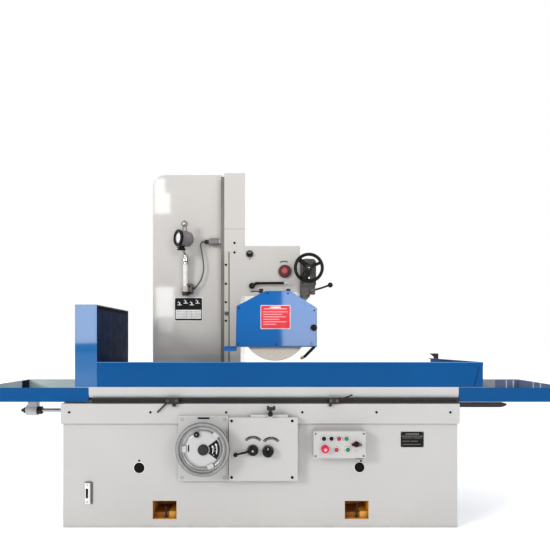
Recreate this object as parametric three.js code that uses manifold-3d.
// A hydraulic surface grinder: a bed with a reciprocating table, a column behind it at the left,
// and a carriage on the column's right side that carries the cross-sliding wheelhead.
// Millimetres. X runs along the table, Y goes to the back, Z is up, and the floor is Z = 0.
import * as THREE from "three";
import { mergeVertices } from "three/addons/utils/BufferGeometryUtils.js";
import Module from "manifold-3d";

const wasm = await Module();
wasm.setup();

// ---------------------------------------------------------------- driving dimensions
const GAP = 0.4; // between pieces that touch or slide on each other

// Bed
const BED_END = 1088; // half the length of the lower casting
const FLANGE_END = 1096; // half the length of the top flange
const BED_FRONT = -328;
const FLANGE_FRONT = -335;
const BED_BACK = 335;
const FLANGE_BOTTOM = 574;
const BED_TOP = 684;
const WAY_TOP = 700;
const WAY_INNER = 150; // each way lies this far from the centre line...
const WAY_OUTER = 290; // ...to this far
const CHANNEL_HALF_WIDTH = 80;
const CHANNEL_FLOOR = 500;
const POCKET_SPANS = [[-594, -462], [466, 598]];
const POCKET_HEIGHT = [46, 147];
const POCKET_BACK = -150;
const SKIRT_FRONT = -343;
const COLUMN_BASE = { x: [-800, 100], y: [BED_BACK + GAP, 1050], z: [0, 690] };

// Table and what it carries, at the middle of its stroke
const TABLE = { x: [-948, 1096], y: [-325, 325], z: [719, 774] };
const TROUGH_RIGHT = 1230; // at the front; the right end slants in towards the back...
const TROUGH_RIGHT_BACK = 1131; // ...to here
const TROUGH_LEFT = -902;
const TROUGH_FRONT_TOP = 912;
const TROUGH_REAR_TOP = 885;
const SHIELD_LEFT = -1024;
const SHIELD_TOP = 1230;
const SHEET = 4;
const TRAY_Z = [702, 770];
const TRAY_REACH = 622;
const APRON_BOTTOM = 692; // the trays' front walls hang this low
const CHUCK = { x: [-426, 574], y: [-200, 200], z: [774 + GAP, 880] };
const ROD_Z = 605;
const ROD_RADIUS = 11;
const PISTON_RADIUS = 35;
const ROD_BRACKET_X = [-1433, -1367];
const RAIL_FRONT = -337;

// Column, carriage and wheelhead
const COLUMN = { x: [-757, -281], y: [420, 1000], z: [690 + GAP, 2171] };
const COLUMN_CORNER = 85;
const RAIL_FACE = -262; // the rails' sliding face, right of the column
const RAIL_CENTRES = [495, 865];
const LIFT_SCREW = { x: -315, y: 660, radius: 18 };
const CARRIAGE_FACE = 370;
const CARRIAGE_BACK = 950;
const CARRIAGE_Z = [850, 1788];
const COVER = { front: -120, back: -150, top: 2170 }; // its right side draws in to the back
const ARM = { x: [-175, 254], z: [1333, 1673] };
const SPINDLE = { x: 82, z: 1107 };
const CROSS_SCREW_Z = 1430;
const WHEEL_RADIUS = 200;
const WHEEL_HALF_WIDTH = 20;
const WHEEL_BORE = 60;
const GUARD_Y = [-50, 45];
const CROSS_WHEEL = { x: 307, y: 270, z: 1512, radius: 100 };

// Operator's front
const FEED_WHEEL = { x: -302, y: -455, z: 455, radius: 145 };
const PLATE_FRONT = -358;
const PANEL_FRONT = -385;
const BOX_FRONT = -405;
const LAMP = { x: -527, y: 385 };

// ---------------------------------------------------------------- shapes
// A closed geometry as a solid, turned right side out if its profile ran the other way.
function solid(geometry) {
  const bare = geometry.index ? geometry.toNonIndexed() : geometry.clone();
  bare.deleteAttribute("normal");
  bare.deleteAttribute("uv");
  const merged = mergeVertices(bare, 1e-4);
  const vertProperties = new Float32Array(merged.attributes.position.array);
  const triVerts = new Uint32Array(merged.index.array);
  const made = new wasm.Manifold(new wasm.Mesh({ numProp: 3, vertProperties, triVerts }));
  if (made.volume() > 0) return made;
  const turned = triVerts.map((_, i) => triVerts[3 * Math.floor(i / 3) + 2 - (i % 3)]);
  return new wasm.Manifold(new wasm.Mesh({ numProp: 3, vertProperties, triVerts: turned }));
}

function join(...solids) {
  return solids.reduce((whole, next) => whole.add(next));
}

function cut(whole, ...tools) {
  return tools.reduce((left, tool) => left.subtract(tool), whole);
}

function box([x0, x1], [y0, y1], [z0, z1]) {
  const geometry = new THREE.BoxGeometry(x1 - x0, y1 - y0, z1 - z0);
  return solid(geometry.translate((x0 + x1) / 2, (y0 + y1) / 2, (z0 + z1) / 2));
}

// A cylinder, or a cone with a second radius, about the line that runs along one axis.
function rod(axis, from, to, [x, y, z], radius, sides = 16, endRadius = radius) {
  const geometry = new THREE.CylinderGeometry(endRadius, radius, to - from, sides);
  geometry.translate(0, (from + to) / 2, 0);
  if (axis === "x") return solid(geometry.rotateZ(-Math.PI / 2).translate(0, y, z));
  if (axis === "z") return solid(geometry.rotateX(Math.PI / 2).translate(x, y, 0));
  return solid(geometry.translate(x, 0, z));
}

function shapeOf(outline) {
  return outline instanceof THREE.Shape
    ? outline
    : new THREE.Shape(outline.map(([u, v]) => new THREE.Vector2(u, v)));
}

function extruded(outline, length) {
  const options = { depth: length, bevelEnabled: false, curveSegments: 10 };
  return new THREE.ExtrudeGeometry(shapeOf(outline), options);
}

const ALONG_X = new THREE.Matrix4().makeBasis(
  new THREE.Vector3(0, 1, 0), new THREE.Vector3(0, 0, 1), new THREE.Vector3(1, 0, 0));

// Prisms: along X from a (Y, Z) outline, along Y from an (X, Z) one, along Z from an (X, Y) one.
function prismX(outline, [from, to]) {
  return solid(extruded(outline, to - from).applyMatrix4(ALONG_X).translate(from, 0, 0));
}

function prismY(outline, [from, to]) {
  return solid(extruded(outline, to - from).rotateX(Math.PI / 2).translate(0, to, 0));
}

function prismZ(outline, [from, to]) {
  return solid(extruded(outline, to - from).translate(0, 0, from));
}

// A turned piece about the Y axis through (x, z): its profile is [radius, y] points.
function turned(profile, x, z, sides = 18) {
  const points = profile.map(([radius, y]) => new THREE.Vector2(radius, y));
  return solid(new THREE.LatheGeometry(points, sides).translate(x, 0, z));
}

function ball(x, y, z, radius) {
  return solid(new THREE.SphereGeometry(radius, 12, 6).translate(x, y, z));
}

// A round bar from one point to another.
function bar(from, to, radius, sides = 8, endRadius = radius) {
  const start = new THREE.Vector3(...from);
  const run = new THREE.Vector3(...to).sub(start);
  const geometry = new THREE.CylinderGeometry(endRadius, radius, run.length(), sides);
  geometry.translate(0, run.length() / 2, 0);
  const turn = new THREE.Quaternion();
  turn.setFromUnitVectors(new THREE.Vector3(0, 1, 0), run.clone().normalize());
  return solid(geometry.applyQuaternion(turn).translate(start.x, start.y, start.z));
}

// A tube along a smooth curve through the points.
function tube(points, radius, sides, steps) {
  const section = new THREE.Shape();
  section.absarc(0, 0, radius, 0, 2 * Math.PI);
  const path = new THREE.CatmullRomCurve3(points.map((p) => new THREE.Vector3(...p)));
  const options = { steps, extrudePath: path, curveSegments: sides, bevelEnabled: false };
  return solid(new THREE.ExtrudeGeometry(section, options));
}

function ring(centre, radius, thickness, sides = 32) {
  const geometry = new THREE.TorusGeometry(radius, thickness, 6, sides);
  return solid(geometry.rotateX(Math.PI / 2).translate(...centre));
}

// ---------------------------------------------------------------- materials and nodes
const FINISHES = {
  lightGrey: ["#cdcdcb", 0.45, 0.1],
  blue: ["#0f5c9c", 0.4, 0.1],
  black: ["#1c1c1d", 0.5, 0],
  steel: ["#b9bbbd", 0.3, 0.9],
  iron: ["#6a655f", 0.6, 0.4],
  cream: ["#dcd0c0", 0.9, 0],
  red: ["#c62a35", 0.4, 0],
  green: ["#2f9a4c", 0.4, 0],
};

function piece(name, finish, shape) {
  const { vertProperties, triVerts, numProp } = shape.getMesh();
  const count = vertProperties.length / numProp;
  const positions = new Float32Array(3 * count);
  for (let i = 0; i < count; i += 1) {
    for (let k = 0; k < 3; k += 1) positions[3 * i + k] = vertProperties[numProp * i + k];
  }
  const geometry = new THREE.BufferGeometry();
  geometry.setAttribute("position", new THREE.BufferAttribute(positions, 3));
  geometry.setIndex(new THREE.BufferAttribute(new Uint32Array(triVerts), 1));
  const [color, roughness, metalness] = FINISHES[finish];
  const material = new THREE.MeshStandardMaterial({ color, roughness, metalness });
  const mesh = new THREE.Mesh(geometry, material);
  mesh.name = name;
  return mesh;
}

// ---------------------------------------------------------------- bed
function bedCasting() {
  const body = box([-BED_END, BED_END], [BED_FRONT, BED_BACK], [0, FLANGE_BOTTOM + 1]);
  const flangeX = [-FLANGE_END, FLANGE_END];
  const flange = box(flangeX, [FLANGE_FRONT, BED_BACK], [FLANGE_BOTTOM, BED_TOP]);
  const veeWay = box(flangeX, [-WAY_OUTER, -WAY_INNER], [BED_TOP - 1, WAY_TOP]);
  const flatWay = box(flangeX, [WAY_INNER, WAY_OUTER], [BED_TOP - 1, WAY_TOP]);
  const veeMiddle = -(WAY_INNER + WAY_OUTER) / 2;
  const veeOutline = [[veeMiddle - 37, WAY_TOP + 1], [veeMiddle + 37, WAY_TOP + 1], [veeMiddle, 662]];
  const past = [-FLANGE_END - 1, FLANGE_END + 1];
  const vee = prismX(veeOutline, past);
  const channel = box(past, [-CHANNEL_HALF_WIDTH, CHANNEL_HALF_WIDTH], [CHANNEL_FLOOR, WAY_TOP + 1]);
  const pockets = POCKET_SPANS.map((span) => box(span, [BED_FRONT - 1, POCKET_BACK], POCKET_HEIGHT));
  return piece("bed_casting", "lightGrey", cut(join(body, flange, veeWay, flatWay), vee, channel,
    ...pockets));
}

function columnBase() {
  return piece("column_base", "lightGrey", box(COLUMN_BASE.x, COLUMN_BASE.y, COLUMN_BASE.z));
}

function frontSkirt() {
  const y = [SKIRT_FRONT, FLANGE_FRONT - GAP];
  return piece("front_skirt", "lightGrey", box([-FLANGE_END, FLANGE_END], y, [FLANGE_BOTTOM, BED_TOP]));
}

// The lip that carries drips off the front edge of the bed's right end.
function dripLip() {
  const root = FLANGE_END + GAP;
  const tip = root + 260;
  const outline = [[root, 664], [tip - 36, 664], [tip - 14, 668], [tip, 676], [tip, BED_TOP],
    [root, BED_TOP]];
  return piece("drip_lip", "black", prismY(outline, [FLANGE_FRONT, -262]));
}

// The table's hydraulic cylinder on its two saddles in the bed's channel.
function driveCylinder() {
  const line = [0, 0, ROD_Z];
  const barrel = rod("x", -700, 700, line, 48);
  const saddles = [-620, 580].map((x) => box([x, x + 40], [-60, 60], [CHANNEL_FLOOR + GAP, ROD_Z]));
  const bore = rod("x", -680, 680, line, PISTON_RADIUS + 1, 24);
  const rodHole = rod("x", -701, -679, line, ROD_RADIUS + GAP);
  return piece("drive_cylinder", "steel", cut(join(barrel, ...saddles), bore, rodHole));
}

// ---------------------------------------------------------------- operator's front
// A bore in a front face for a stub shaft.
function stubBore(x, z, front, radius) {
  return rod("y", front - 1, front + 31, [x, 0, z], radius + GAP);
}

function feedWheelPlate() {
  const { x, z } = FEED_WHEEL;
  const span = [-448, -175];
  const upper = box(span, [PLATE_FRONT, SKIRT_FRONT - GAP], [262, 621]);
  const lower = box(span, [SKIRT_FRONT - 1, BED_FRONT - GAP], [262, FLANGE_BOTTOM - GAP]);
  const boss = rod("y", -395, PLATE_FRONT + 1, [x, 0, z], 64, 32);
  return piece("feed_wheel_plate", "lightGrey", cut(join(upper, lower, boss), stubBore(x, z, -395, 15)));
}

function feedHandwheel() {
  const { x, y, z, radius } = FEED_WHEEL;
  const back = -395 - GAP;
  const hub = turned(
    [[0, -370], [15, -370], [15, back], [97, back], [97, -430], [88, -440], [30, -440], [30, -462],
      [24, -468], [0, -468]], x, z, 36);
  const rimMiddle = radius - 14;
  const rim = ring([x, y, z], rimMiddle, 13);
  const spokes = [1, 5, 9].map((hour) => {
    const turn = Math.PI / 2 - (hour * Math.PI) / 6;
    const at = (r, depth) => [x + r * Math.cos(turn), depth, z + r * Math.sin(turn)];
    return bar(at(70, -434), at(rimMiddle, y), 9, 8);
  });
  const socket = rod("y", -445, -425, [x - 33, 0, z + 78], 5 + GAP);
  return piece("feed_handwheel", "steel", cut(join(hub, rim, ...spokes), socket));
}

function dialKnob() {
  const x = FEED_WHEEL.x - 33;
  const z = FEED_WHEEL.z + 78;
  const profile = [[0, -426], [5, -426], [5, -441], [15, -441], [15.5, -452], [11, -458], [0, -458]];
  return piece("dial_knob", "black", turned(profile, x, z));
}

const SPEED_LEVER = { x: -39, z: 437 };
const THROTTLE = { x: 43, z: 434 };
const REVERSING = { x: 56, z: 634 };
const LUG_BACK = -362; // of the lug that carries the reversing lever above the panel

function valvePanel() {
  const span = [-169, 204];
  const upper = box(span, [PANEL_FRONT, SKIRT_FRONT - GAP], [271, 614]);
  const lower = box(span, [SKIRT_FRONT - 1, BED_FRONT - GAP], [271, FLANGE_BOTTOM - GAP]);
  const hump = box([-52, 151], [PANEL_FRONT + 6, SKIRT_FRONT - GAP], [613, 628]);
  const lug = box([REVERSING.x - 14, REVERSING.x + 14], [PANEL_FRONT, LUG_BACK], [600, REVERSING.z + 14]);
  const bores = [
    stubBore(SPEED_LEVER.x, SPEED_LEVER.z, PANEL_FRONT, 8),
    stubBore(THROTTLE.x, THROTTLE.z, PANEL_FRONT, 8),
    stubBore(REVERSING.x, REVERSING.z, PANEL_FRONT, 6),
  ];
  return piece("valve_panel", "lightGrey", cut(join(upper, lower, hump, lug), ...bores));
}

function speedLever() {
  const { x, z } = SPEED_LEVER;
  const back = PANEL_FRONT - GAP;
  const hub = turned([[0, -360], [8, -360], [8, back], [27, back], [27, -408], [21, -416], [0, -416]],
    x, z);
  const arm = bar([x - 18, -402, z - 4], [x - 86, -412, z - 18], 5.5, 12, 4);
  return piece("speed_lever", "black", join(hub, arm, ball(x - 92, -413, z - 19, 12.5)));
}

function throttleKnob() {
  const { x, z } = THROTTLE;
  const back = PANEL_FRONT - GAP;
  const hub = turned([[0, -360], [8, -360], [8, back], [24, back], [24, -394], [29, -397], [29, -424],
    [25, -429], [0, -429]], x, z);
  const pointer = box([x - 3, x + 3], [-398, back], [z + 20, z + 33]);
  return piece("throttle_knob", "black", join(hub, pointer));
}

function reversingLever() {
  const { x, z } = REVERSING;
  const back = PANEL_FRONT - GAP;
  const stubEnd = LUG_BACK - 1;
  const profile = [[0, stubEnd], [6, stubEnd], [6, back], [13.5, back], [13.5, -400], [8, -407],
    [0, -407]];
  const hub = turned(profile, x, z);
  const outline = [[-6, 10], [6, 10], [8, 18], [27, 22], [27, 44], [17, 44], [12, 38], [-4, 38], [-9, 44],
    [-19, 44], [-19, 22], [-8, 18]];
  const fork = prismY(outline.map(([u, v]) => [x + u, z + v]), [-396, -388]);
  return piece("reversing_lever", "black", join(hub, fork));
}

const BUTTON_ROWS = [
  { name: "button_black_left", finish: "black", x: 344, z: 504 },
  { name: "button_black_right", finish: "black", x: 384, z: 504 },
  { name: "button_red_upper", finish: "red", x: 425, z: 504 },
  { name: "button_green_upper", finish: "green", x: 465, z: 504 },
  { name: "button_red_lower", finish: "red", x: 411, z: 444 },
  { name: "button_green_lower", finish: "green", x: 472, z: 444 },
];
const SELECTOR = { x: 518, z: 474 };
const BOX_STOP = { x: 350, z: 449 };
const BUTTON_STUB = 8;

function controlBox() {
  const body = box([289, 569], [BOX_FRONT, BED_FRONT - GAP], [398, 542]);
  const holes = [...BUTTON_ROWS, SELECTOR, BOX_STOP];
  return piece("control_box", "lightGrey", cut(body,
    ...holes.map(({ x, z }) => stubBore(x, z, BOX_FRONT, BUTTON_STUB))));
}

function button({ name, finish, x, z }) {
  const profile = [[0, -388], [BUTTON_STUB, -388], [BUTTON_STUB, -410], [11.5, -410], [11.5, -415],
    [9.5, -417], [0, -417]];
  return piece(name, finish, turned(profile, x, z));
}

function selectorSwitch() {
  const { x, z } = SELECTOR;
  const knob = turned([[0, -388], [BUTTON_STUB, -388], [BUTTON_STUB, -406], [15, -406], [15, -415],
    [0, -415]], x, z);
  const handle = box([x - 27, x + 27], [-428, -414], [z - 7, z + 7]);
  return piece("selector_switch", "black", join(knob, handle));
}

function emergencyStop() {
  const profile = [[0, -388], [BUTTON_STUB, -388], [BUTTON_STUB, -422], [20, -422], [20, -431],
    [15, -438], [0, -440]];
  return piece("emergency_stop", "red", turned(profile, BOX_STOP.x, BOX_STOP.z));
}

// ---------------------------------------------------------------- table
function tableCasting() {
  const [front, back] = TABLE.y;
  const [bottom, top] = TABLE.z;
  const slab = prismX([[front, top], [front, bottom + 17], [front + 5, bottom], [back, bottom],
    [back, top]], TABLE.x);
  const spine = box(TABLE.x, [front + 5, back - 5], [bottom - 3, bottom + 1]);
  const flatPad = box(TABLE.x, [WAY_INNER + 5, WAY_OUTER - 5], [WAY_TOP + GAP, TABLE.z[0]]);
  const veePad = box(TABLE.x, [5 - WAY_OUTER, -WAY_INNER - 5], [WAY_TOP + GAP, TABLE.z[0]]);
  const middle = -(WAY_INNER + WAY_OUTER) / 2;
  const vee = prismX([[middle - 35, WAY_TOP + 2], [middle, 665], [middle + 35, WAY_TOP + 2]], TABLE.x);
  const slots = [-75, 75].map((y) => teeSlot(y));
  return piece("table_casting", "lightGrey", cut(join(slab, spine, flatPad, veePad, vee), ...slots));
}

// A tee slot along the table's top, for the chuck's clamp bolts.
function teeSlot(y) {
  const past = [TABLE.x[0] - 1, TABLE.x[1] + 1];
  const neck = box(past, [y - 9, y + 9], [TABLE.z[1] - 30, TABLE.z[1] + 1]);
  return join(neck, box(past, [y - 16, y + 16], [TABLE.z[1] - 32, TABLE.z[1] - 18]));
}

function dogRail() {
  const body = box([-930, 1080], [RAIL_FRONT, -320 - GAP], [686, 715]);
  const groove = box([-931, 1081], [RAIL_FRONT - 1, RAIL_FRONT + 8], [696, 706]);
  return piece("dog_rail", "black", cut(body, groove));
}

const DOG_FRONT = -360;

// A reversing dog: its tongue runs in the rail's groove and its nose hangs in front of the skirt.
function dog(name, [left, right], noseSpan, leverFrom, leverTo) {
  const block = box([left, right], [DOG_FRONT, RAIL_FRONT - GAP], [686, 718]);
  const nose = box(noseSpan, [DOG_FRONT, SKIRT_FRONT - 1 - GAP], [671, 687]);
  const tongue = box([left + 6, right - 6], [RAIL_FRONT - 1, RAIL_FRONT + 7], [697, 705]);
  const lever = bar(leverFrom, leverTo, 5, 10, 4);
  return piece(name, "black", join(block, nose, tongue, lever));
}

function magneticChuck() {
  const { x, y, z } = CHUCK;
  const base = box(x, y, [z[0], z[0] + 26]);
  const body = box([x[0] + 6, x[1] - 6], [y[0] + 25, y[1] - 25], [z[0] + 20, z[1] - 22]);
  const plate = box(x, [y[0] + 18, y[1] - 18], [z[1] - 24, z[1]]);
  return piece("magnetic_chuck", "steel", join(base, body, plate));
}

function troughFront() {
  const [front] = TABLE.y;
  const inner = front + SHEET;
  const bottom = TABLE.z[1] + GAP;
  const outline = [[front, bottom], [front + 30, bottom], [front + 30, bottom + SHEET],
    [inner, bottom + SHEET],
    [inner, TROUGH_FRONT_TOP - SHEET], [front + 16, TROUGH_FRONT_TOP - SHEET],
      [front + 16, TROUGH_FRONT_TOP],
    [front, TROUGH_FRONT_TOP]];
  return piece("trough_front", "blue", prismX(outline, [TROUGH_LEFT, TROUGH_RIGHT]));
}

function troughRear() {
  const back = TABLE.y[1];
  const inner = back - SHEET;
  const bottom = TABLE.z[1] + GAP;
  const outline = [[back, bottom], [back, TROUGH_REAR_TOP], [inner - 12, TROUGH_REAR_TOP],
    [inner - 12, TROUGH_REAR_TOP - SHEET], [inner, TROUGH_REAR_TOP - SHEET], [inner, bottom + SHEET],
    [back - 30, bottom + SHEET], [back - 30, bottom]];
  return piece("trough_rear", "blue", prismX(outline, [TROUGH_LEFT, TROUGH_RIGHT_BACK - SHEET - GAP]));
}

// The slanting right end: points at one depth, each so far in from the end's outer face.
function slantPoint(y, inset) {
  const [front, back] = TABLE.y;
  const part = (y - front) / (back - front);
  return [TROUGH_RIGHT + (TROUGH_RIGHT_BACK - TROUGH_RIGHT) * part - inset, y];
}

function slantStrip([y0, y1], width, z) {
  return prismZ([slantPoint(y0, width), slantPoint(y0, 0), slantPoint(y1, 0), slantPoint(y1, width)], z);
}

function troughRightEnd() {
  const y = [TABLE.y[0] + 30 + GAP, TABLE.y[1] - 30 - GAP];
  const wallY = [TABLE.y[0] + 16 + GAP, TABLE.y[1]];
  const bottom = TABLE.z[1] + GAP;
  const inner = TABLE.x[1] + GAP;
  const floorOutline = [[inner, y[0]], slantPoint(y[0], 0), slantPoint(y[1], 0), [inner, y[1]]];
  const floor = prismZ(floorOutline, [bottom, bottom + SHEET]);
  const wall = slantStrip(wallY, SHEET, [bottom + SHEET + GAP, TROUGH_FRONT_TOP]);
  const root = slantStrip(y, SHEET, [bottom, bottom + 10]);
  const lip = slantStrip(wallY, 16, [TROUGH_FRONT_TOP - SHEET, TROUGH_FRONT_TOP]);
  return piece("trough_right_end", "blue", join(floor, wall, root, lip));
}

// The tall splash shield at the table's left end: a folded channel with a lid, open to the left.
function splashShield() {
  const right = TROUGH_LEFT - GAP;
  const [front, back] = TABLE.y;
  const bottom = TABLE.z[1] + GAP;
  const outer = box([SHIELD_LEFT, right], [front, back], [bottom, SHIELD_TOP]);
  const inside = box([SHIELD_LEFT - 1, right - SHEET], [front + SHEET, back - SHEET],
    [bottom - 1, SHIELD_TOP - SHEET]);
  return piece("splash_shield", "blue", cut(outer, inside));
}

// A shallow tray that carries spilled coolant back from one end of the table.
function tray(name, x) {
  const outer = box(x, TABLE.y, TRAY_Z);
  const [front, back] = TABLE.y;
  const [bottom, top] = TRAY_Z;
  const apron = box(x, [front, front + SHEET], [APRON_BOTTOM, bottom + 1]);
  const inside = box([x[0] + SHEET, x[1] - SHEET], [front + SHEET, back - SHEET],
    [bottom + SHEET, top + 1]);
  return piece(name, "blue", cut(join(outer, apron), inside));
}

// The drive rod: its bracket hangs under the left tray from a bar bolted to the table's end.
function rodBracket() {
  const [left, right] = ROD_BRACKET_X;
  const hanger = box([left, TABLE.x[0] - GAP], [-45, 45], [TRAY_Z[0] - 26, TRAY_Z[0] - GAP]);
  const leg = box([left + 12, right], [-22, 22], [ROD_Z, TRAY_Z[0] - 20]);
  const barrel = rod("x", left, right, [0, 0, ROD_Z], 31);
  const hole = rod("x", left - 1, right + 1, [0, 0, ROD_Z], ROD_RADIUS + GAP);
  return piece("rod_bracket", "lightGrey", cut(join(hanger, leg, barrel), hole));
}

function pistonRod() {
  const [left, right] = ROD_BRACKET_X;
  const line = [0, 0, ROD_Z];
  const shaft = rod("x", left - 37, 0, line, ROD_RADIUS);
  const capNut = rod("x", left - 37, left - GAP, line, 20, 6);
  const flangeNut = rod("x", right + GAP, right + 28, line, 26);
  const piston = rod("x", -40, 40, line, PISTON_RADIUS, 24);
  return piece("piston_rod", "steel", join(shaft, capNut, flangeNut, piston));
}

// ---------------------------------------------------------------- column
function column() {
  const [left, right] = COLUMN.x;
  const [bottom, top] = COLUMN.z;
  const outline = new THREE.Shape();
  outline.moveTo(left, bottom);
  outline.lineTo(right, bottom);
  outline.lineTo(right, top);
  outline.lineTo(left + COLUMN_CORNER, top);
  outline.absarc(left + COLUMN_CORNER, top - COLUMN_CORNER, COLUMN_CORNER, Math.PI / 2, Math.PI);
  const nutGroove = box([LIFT_SCREW.x - 40, right + 1], [LIFT_SCREW.y - 45, LIFT_SCREW.y + 45],
    [bottom - 1, top + 1]);
  return piece("column", "lightGrey", cut(prismY(outline, COLUMN.y), nutGroove));
}

function railOutline(middle, extra) {
  const root = COLUMN.x[1] + GAP - extra;
  const face = RAIL_FACE + extra;
  return [[root, middle - 35 - extra], [face, middle - 45 - extra], [face, middle + 45 + extra],
    [root, middle + 35 + extra]];
}

function columnRail(name, middle) {
  return piece(name, "steel", prismZ(railOutline(middle, 0), [700, 2160]));
}

function wayCoverStrip() {
  const y = [CARRIAGE_FACE + 2, COLUMN.y[0] - GAP];
  return piece("way_cover_strip", "iron", box([COLUMN.x[1] - 3, RAIL_FACE], y, [WAY_TOP, 2145]));
}

function liftScrew() {
  const { x, y, radius } = LIFT_SCREW;
  const foot = rod("z", 690 + GAP, 712, [x, y, 0], 30);
  return piece("lift_screw", "steel", join(foot, rod("z", 711, 2150, [x, y, 0], radius)));
}

// ---------------------------------------------------------------- work lamp
function lampPost() {
  const { x, y } = LAMP;
  const foot = box([x - 24, x + 46], [y + 8, COLUMN.y[0] - GAP], [1351, 1392]);
  const terminal = box([x + 9, x + 46], [y - 12, COLUMN.y[0] - GAP], [1370, 1418]);
  const socket = rod("z", 1346, 1400, [x, y, 0], 22);
  const stem = rod("z", 1340, 1568, [x, y, 0], 16);
  const swivelBore = rod("z", 1540, 1569, [x, y, 0], 8 + GAP);
  return piece("lamp_post", "lightGrey", cut(join(foot, terminal, socket, stem), swivelBore));
}

const LAMP_TILT = { x: -541, y: 345, z: 1652 };

function lampNeck() {
  const { x, y } = LAMP;
  const pin = rod("z", 1542, 1570, [x, y, 0], 8);
  const collar = rod("z", 1568 + GAP, 1592, [x, y, 0], 23);
  const knuckle = ball(x, y, 1604, 18);
  const elbow = bar([x, y, 1604], [LAMP_TILT.x, LAMP_TILT.y, 1645], 9, 10, 6);
  const eye = rod("x", LAMP_TILT.x - 7, LAMP_TILT.x + 7, [0, LAMP_TILT.y, LAMP_TILT.z], 15);
  const tiltBore = rod("x", LAMP_TILT.x - 8, LAMP_TILT.x + 8, [0, LAMP_TILT.y, LAMP_TILT.z], 5 + GAP);
  return piece("lamp_neck", "steel", cut(join(pin, collar, knuckle, elbow, eye), tiltBore));
}

const LAMP_HEAD = { x: -530, y: 330, z: 1716, radius: 50 };

// The lamp's head: a round housing with its bezel, the wing bolt it tilts on and a ring on top.
function lampHead() {
  const tilt = LAMP_TILT;
  const pin = rod("x", tilt.x - 17, tilt.x + 17, [0, tilt.y, tilt.z], 5);
  const cheeks = [[tilt.x - 14, tilt.x - 7 - GAP], [tilt.x + 7 + GAP, tilt.x + 14]].map((span) =>
    box(span, [tilt.y - 14, tilt.y + 6], [tilt.z - 7, tilt.z + 26]));
  const wing = box([tilt.x - 36, tilt.x - 15], [tilt.y - 4, tilt.y + 4], [tilt.z - 9, tilt.z + 9]);
  const facing = new THREE.Vector3(-0.78, -0.62, 0).normalize();
  const middle = new THREE.Vector3(LAMP_HEAD.x, LAMP_HEAD.y, LAMP_HEAD.z);
  const at = (distance) => middle.clone().addScaledVector(facing, distance).toArray();
  const shell = bar(at(-42), at(34), LAMP_HEAD.radius, 24);
  const dome = bar(at(-62), at(-41), 30, 24, LAMP_HEAD.radius);
  const bezel = bar(at(33), at(48), LAMP_HEAD.radius + 6, 24);
  const mouth = bar(at(20), at(50), LAMP_HEAD.radius - 8, 24);
  const [ringX, ringY] = at(-6);
  const stem = bar([ringX, ringY, LAMP_HEAD.z + 44], [ringX, ringY, LAMP_HEAD.z + 84], 14, 10, 9);
  const loop = ring([ringX, ringY, LAMP_HEAD.z + 100], 16, 6, 16);
  const whole = join(pin, ...cheeks, wing, shell, dome, bezel, stem, loop);
  return piece("lamp_head", "iron", cut(whole, mouth));
}

const CABLE_Y = 392;
const CONNECTOR_Z = 1705;

function lampCable() {
  const route = [[-478, 1386], [-466, 1391], [-444, 1412], [-418, 1457], [-404, 1524], [-411, 1600],
    [-421, 1655],
    [-424, 1688], [-412, 1704], [-400, 1705]];
  return piece("lamp_cable", "black", tube(route.map(([x, z]) => [x, CABLE_Y, z]), 4.5, 4, 26));
}

function cableConnector() {
  const line = [0, CABLE_Y, CONNECTOR_Z];
  const gland = rod("x", -399, -367, line, 11, 16, 16);
  const body = rod("x", -368, -300, line, 25);
  const nipple = rod("x", -301, -284 - GAP, line, 18);
  return piece("cable_connector", "iron", join(gland, body, nipple));
}

// ---------------------------------------------------------------- carriage
const FRONT_BORES = { oilCap: [-89, 1619], armStop: [150, 1500], armLever: [-73, 1401] };

function carriageCasting() {
  const y = [CARRIAGE_FACE, CARRIAGE_BACK];
  const [bottom, top] = CARRIAGE_Z;
  const upright = box([RAIL_FACE + GAP, -150], y, CARRIAGE_Z);
  const arm = box(ARM.x, y, ARM.z);
  const cheeks = RAIL_CENTRES.map((middle) => box([COLUMN.x[1] + 2 * GAP, RAIL_FACE + 1],
    [middle - 70, middle + 70], CARRIAGE_Z));
  const grooves = RAIL_CENTRES.map((middle) => prismZ(railOutline(middle, GAP), [bottom - 1, top + 1]));
  const nut = box([LIFT_SCREW.x - 30, RAIL_FACE + 1], [LIFT_SCREW.y - 30, LIFT_SCREW.y + 30],
    [1180, 1280]);
  const nutBore = rod("z", 1179, 1281, [LIFT_SCREW.x, LIFT_SCREW.y, 0], LIFT_SCREW.radius + GAP);
  const slideGroove = prismY(dovetail(GAP), [y[0] - 1, y[1] + 1]);
  const chamber = box([SPINDLE.x - 42, SPINDLE.x + 42], [y[0] + 16, y[1] + 1], [1378, 1480]);
  const journal = rod("y", y[0] + 4, y[0] + 17, [SPINDLE.x, 0, CROSS_SCREW_Z], 8 + GAP);
  const bores = Object.values(FRONT_BORES).map(([x, z]) => stubBore(x, z, CARRIAGE_FACE, BUTTON_STUB));
  const whole = join(upright, arm, ...cheeks, nut);
  return piece("carriage_casting", "lightGrey", cut(whole, ...grooves, nutBore, slideGroove, chamber,
    journal, ...bores));
}

// The wheelhead's dovetail under the arm, wider by the given clearance all round.
function dovetail(extra) {
  const half = 80 + extra;
  const flare = 110 + extra;
  const { x } = SPINDLE;
  return [[x - half, ARM.z[0] - 1], [x + half, ARM.z[0] - 1], [x + flare, 1380 + extra],
    [x - flare, 1380 + extra]];
}

// The way cover's plan, drawn in by the sheet's thickness for its inside.
function coverPlan(inset) {
  const left = RAIL_FACE + GAP + inset;
  const front = CARRIAGE_FACE + inset;
  const back = CARRIAGE_BACK - inset;
  return [[left, front], [COVER.front - inset, front], [COVER.back - inset, back], [left, back]];
}

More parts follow.
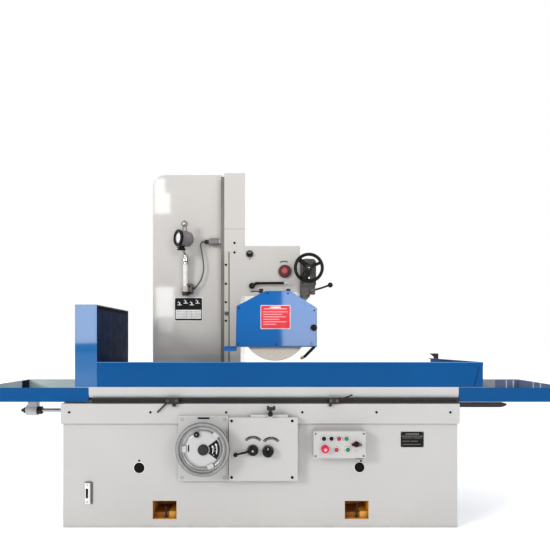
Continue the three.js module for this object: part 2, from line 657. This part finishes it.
function carriageCover() {
  const bottom = CARRIAGE_Z[1] + GAP;
  const shell = prismZ(coverPlan(0), [bottom, COVER.top]);
  const inside = prismZ(coverPlan(SHEET), [bottom - 1, COVER.top - SHEET]);
  return piece("carriage_cover", "lightGrey", cut(shell, inside));
}

function oilCap() {
  const [x, z] = FRONT_BORES.oilCap;
  const face = CARRIAGE_FACE - GAP;
  return piece("oil_cap", "black", turned([[0, 390], [8, 390], [8, face], [20, face], [20, 356],
    [16, 352], [0, 352]], x, z));
}

function armStop() {
  const [x, z] = FRONT_BORES.armStop;
  const profile = [[0, 388], [8, 388], [8, 356], [22, 356], [22, 344], [16, 337], [0, 335]];
  return piece("arm_stop", "red", turned(profile, x, z));
}

// The lever under the oil cap: a hub, a short elbow and a straight bar to the right.
function armLever() {
  const [x, z] = FRONT_BORES.armLever;
  const face = CARRIAGE_FACE - GAP;
  const hub = turned([[0, 388], [8, 388], [8, face], [20, face], [20, 350], [16, 345], [0, 345]], x, z);
  const bend = [x + 32, 344, z + 16];
  const elbow = bar([x, 350, z], bend, 8);
  const shaft = bar(bend, [170, 336, z + 17], 8.5);
  return piece("arm_lever", "black", join(hub, elbow, ball(...bend, 10), shaft));
}

const GEARBOX_FRONT = 345;
const BALL_LEVER = { x: 337, z: 1366 };

function feedGearbox() {
  const left = ARM.x[1] + GAP;
  const upperOutline = [[left, 1396], [353, 1396], [361, 1406], [361, 1566], [346, 1582], [290, 1584],
    [left, 1576]];
  const lowerOutline = [[left, 1322], [266, 1312], [304, 1312], [320, 1330], [320, 1400], [left, 1400]];
  const upper = prismY(upperOutline, [GEARBOX_FRONT, 560]);
  const lower = prismY(lowerOutline, [GEARBOX_FRONT, 520]);
  const leverBoss = box([318, 355], [GEARBOX_FRONT, 420], [BALL_LEVER.z - 22, 1398]);
  const boss = rod("y", 300, GEARBOX_FRONT + 1, [CROSS_WHEEL.x, 0, CROSS_WHEEL.z], 30);
  const bores = [
    stubBore(CROSS_WHEEL.x, CROSS_WHEEL.z, 300, 10),
    stubBore(BALL_LEVER.x, BALL_LEVER.z, GEARBOX_FRONT, 8),
  ];
  return piece("feed_gearbox", "iron", cut(join(upper, lower, leverBoss, boss), ...bores));
}

const CRANK = { angle: (232 * Math.PI) / 180, radius: 66 };

function crankCentre() {
  return [CROSS_WHEEL.x + CRANK.radius * Math.cos(CRANK.angle),
    CROSS_WHEEL.z + CRANK.radius * Math.sin(CRANK.angle)];
}

// A flat web of the cross handwheel, from the hub out to the rim between two directions.
function wheelWeb(degrees, hubHalfWidth, rimHalfWidth) {
  const { x, y, z, radius } = CROSS_WHEEL;
  const turn = (degrees * Math.PI) / 180;
  const at = (out, side) => [
    x + out * Math.cos(turn) - side * Math.sin(turn),
    z + out * Math.sin(turn) + side * Math.cos(turn),
  ];
  const reach = Math.sqrt((radius - 10) ** 2 - rimHalfWidth ** 2);
  const outline = [at(8, hubHalfWidth), at(8, -hubHalfWidth), at(reach, -rimHalfWidth),
    at(reach, rimHalfWidth)];
  return prismY(outline, [y - 4, y + 7]);
}

function crossHandwheel() {
  const { x, y, z, radius } = CROSS_WHEEL;
  const profile = [[0, 328], [10, 328], [10, 300 - GAP], [26, 300 - GAP], [26, 282], [20, 262],
    [10, 258], [0, 258]];
  const rim = ring([x, y, z], radius - 11, 11);
  const webs = [wheelWeb(24, 15, 9), wheelWeb(139, 20, 14), wheelWeb(250, 18, 34)];
  const [cx, cz] = crankCentre();
  const boss = rod("y", y - 11, y + 9, [cx, 0, cz], 12, 16);
  const bore = rod("y", y - 12, y + 6, [cx, 0, cz], 5 + GAP);
  return piece("cross_handwheel", "black", cut(join(turned(profile, x, z), rim, boss, ...webs), bore));
}

function crankHandle() {
  const { y } = CROSS_WHEEL;
  const [x, z] = crankCentre();
  const profile = [[0, y + 4], [5, y + 4], [5, y - 13], [9, y - 13], [13, y - 30], [11, y - 58],
    [13, y - 70],
    [9, y - 78], [0, y - 80]];
  return piece("crank_handle", "black", turned(profile, x, z));
}

function ballLever() {
  const { x, z } = BALL_LEVER;
  const face = GEARBOX_FRONT - GAP;
  const hub = turned([[0, 363], [8, 363], [8, face], [18, face], [18, 316], [13, 310], [0, 310]], x, z);
  const arm = bar([x + 8, 322, z + 3], [440, 322, 1399], 6.5, 12, 5.5);
  return piece("ball_lever", "black", join(hub, arm, ball(454, 322, 1403, 17.5)));
}

function crossScrew() {
  const line = [SPINDLE.x, 0, CROSS_SCREW_Z];
  const journal = rod("y", CARRIAGE_FACE + 5, CARRIAGE_FACE + 30, line, 8);
  return piece("cross_screw", "steel", join(journal, rod("y", CARRIAGE_FACE + 17, 945, line, 12)));
}

// ---------------------------------------------------------------- wheelhead
const HEAD_FRONT = GUARD_Y[1] + GAP;
const HEAD_BACK = 620;

function wheelheadCasting() {
  const { x, z } = SPINDLE;
  const barrel = rod("y", HEAD_FRONT, HEAD_BACK, [x, 0, z], 142, 32);
  const top = ARM.z[0] - GAP;
  const shoulders = box([x - 130, x + 138], [HEAD_FRONT + 12, HEAD_BACK], [z, top]);
  const slide = box([x - 130, x + 138], [HEAD_BACK - 1, 900], [1256, top]);
  const tongue = prismY(dovetail(0), [CARRIAGE_FACE, 900]);
  const nut = box([x - 24, x + 24], [600, 670], [1379, 1462]);
  const nutBore = rod("y", 599, 671, [x, 0, CROSS_SCREW_Z], 12 + GAP);
  const bearingBore = rod("y", HEAD_FRONT - 1, 580, [x, 0, z], 26 + GAP, 32);
  return piece("wheelhead_casting", "lightGrey", cut(join(barrel, shoulders, slide, tongue, nut),
    nutBore, bearingBore));
}

function spindle() {
  const profile = [[0, -42], [22, -42], [24, -34], [80, -34], [80, -20 - GAP],
    [WHEEL_BORE - GAP, -20 - GAP],
    [WHEEL_BORE - GAP, 20 + GAP], [80, 20 + GAP], [80, 36], [26, 40], [26, 575], [0, 575]];
  return piece("spindle", "steel", turned(profile, SPINDLE.x, SPINDLE.z, 28));
}

function grindingWheel() {
  const w = WHEEL_HALF_WIDTH;
  const profile = [[WHEEL_BORE, -w], [WHEEL_RADIUS, -w], [WHEEL_RADIUS, w], [WHEEL_BORE, w],
    [WHEEL_BORE, -w]];
  return piece("grinding_wheel", "cream", turned(profile, SPINDLE.x, SPINDLE.z, 48));
}

// The guard's front outline, drawn in by the sheet's thickness for its inside.
function guardOutline(inset, bottom) {
  return [[-155 + inset, bottom], [335 - inset, bottom], [335 - inset, 1227 - inset / 2],
    [173 - inset / 3, 1330 - inset], [25 + inset / 3, 1330 - inset], [-150 + inset, 1239 - inset / 2]];
}

// The hood on the guard's left side, open below, that turns the spray down.
function deflector() {
  const outline = [[-232, 966], [-154, 966], [-154, 997], [-221, 997], [-232, 988]];
  const inside = [[-228, 965], [-153, 965], [-153, 993], [-219, 993], [-228, 986]];
  const back = GUARD_Y[1];
  return cut(prismY(outline, [-10, back]), prismY(inside, [-10 + SHEET, back - SHEET]));
}

function wheelGuard() {
  const [front, back] = GUARD_Y;
  const shell = prismY(guardOutline(0, 992), [front, back]);
  const inside = prismY(guardOutline(SHEET, 991), [front + SHEET, back - SHEET]);
  const spindleHole = rod("y", back - SHEET - 1, back + 1, [SPINDLE.x, 0, SPINDLE.z], 90, 28);
  const nozzleBore = rod("y", front - 1, front + SHEET + 1, [NOZZLE.x, 0, NOZZLE.z], 6 + GAP);
  const body = join(cut(shell, inside), deflector());
  return piece("wheel_guard", "blue", cut(body, spindleHole, nozzleBore));
}

function motor() {
  const profile = [[0, HEAD_BACK + GAP], [146, HEAD_BACK + GAP], [146, 640], [138, 642], [138, 930],
    [142, 934],
    [142, 985], [120, 1000], [0, 1000]];
  const { x, z } = SPINDLE;
  const body = turned(profile, x, z, 32);
  const terminalBox = box([x + 120, x + 190], [700, 820], [z - 60, z + 60]);
  return piece("motor", "iron", join(body, terminalBox));
}

const NOZZLE = { x: 318, z: 1012 };

// The coolant pipe: a swivelling block on the guard's front, the bent pipe and its jet.
function coolantNozzle() {
  const { x, z } = NOZZLE;
  const front = GUARD_Y[0] - GAP;
  const block = turned([[0, -47], [6, -47], [6, front], [15, front], [15, -74], [0, -74]], x, z);
  const bend = [262, -64, 937];
  const pipe = bar([x, -64, z - 8], bend, 9, 12);
  const jet = bar(bend, [234, -64, 923], 9, 12, 8);
  return piece("coolant_nozzle", "black", join(block, pipe, ball(...bend, 9.3), jet));
}

// ---------------------------------------------------------------- assembly
function assembly(...meshes) {
  const group = new THREE.Group();
  group.add(...meshes);
  return group;
}

const wheelhead = assembly(
  wheelheadCasting(), spindle(), grindingWheel(), wheelGuard(), motor(), coolantNozzle());

const carriage = assembly(
  carriageCasting(), carriageCover(), oilCap(), armStop(), armLever(),
  feedGearbox(), crossHandwheel(), crankHandle(), ballLever(), crossScrew(), wheelhead);

const table = assembly(
  tableCasting(), dogRail(), magneticChuck(), troughFront(), troughRear(), troughRightEnd(),
  splashShield(), rodBracket(), pistonRod(),
  tray("left_tray", [TABLE.x[0] - GAP - TRAY_REACH, TABLE.x[0] - GAP]),
  tray("right_tray", [TABLE.x[1] + GAP, TABLE.x[1] + GAP + TRAY_REACH]),
  dog("left_dog", [-519, -443], [-480, -462], [-507, -352, 694], [-560, -352, 641]),
  dog("right_dog", [376, 431], [376, 391], [420, -352, 700], [501, -352, 732]));

const machine = assembly(
  bedCasting(), columnBase(), frontSkirt(), dripLip(), driveCylinder(),
  feedWheelPlate(), feedHandwheel(), dialKnob(), valvePanel(), speedLever(), throttleKnob(),
  reversingLever(), controlBox(), ...BUTTON_ROWS.map(button), selectorSwitch(), emergencyStop(),
  column(), columnRail("column_rail_front", RAIL_CENTRES[0]),
  columnRail("column_rail_rear", RAIL_CENTRES[1]), wayCoverStrip(), liftScrew(),
  lampPost(), lampNeck(), lampHead(), lampCable(), cableConnector(), table, carriage);

export default machine;
